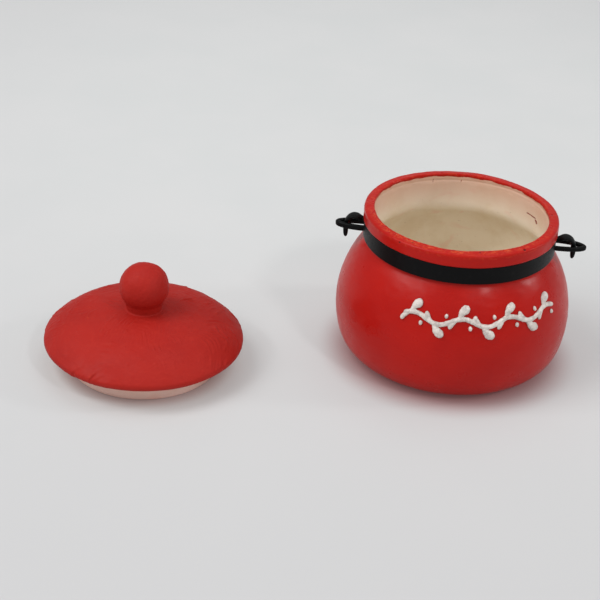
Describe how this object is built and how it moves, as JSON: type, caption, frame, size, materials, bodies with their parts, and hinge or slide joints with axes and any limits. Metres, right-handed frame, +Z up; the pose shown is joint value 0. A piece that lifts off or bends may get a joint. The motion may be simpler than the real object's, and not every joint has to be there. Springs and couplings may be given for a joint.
{
  "type": "condiment pot",
  "caption": "Round-bellied ceramic condiment pot with a black neck band and ears, empty, its domed lid with a ball knob lying beside it.",
  "frame": {"origin": "centre of the pot's foot, on the surface that it stands on", "axes": "+Z up, +X along the line through the band's two ears, away from the lid, -Y the decorated front"},
  "size_m": [0.2272, 0.1328, 0.0687],
  "materials": {
    "pot": "satin red paint outside, cream glaze inside",
    "lid": "matte red paint, bare cream flange",
    "band": "satin black moulded plastic"
  },
  "bodies": {
    "root": {"pot_body": "pot", "lid": "lid", "band_front": "band", "band_back": "band"}
  },
  "joints": []
}
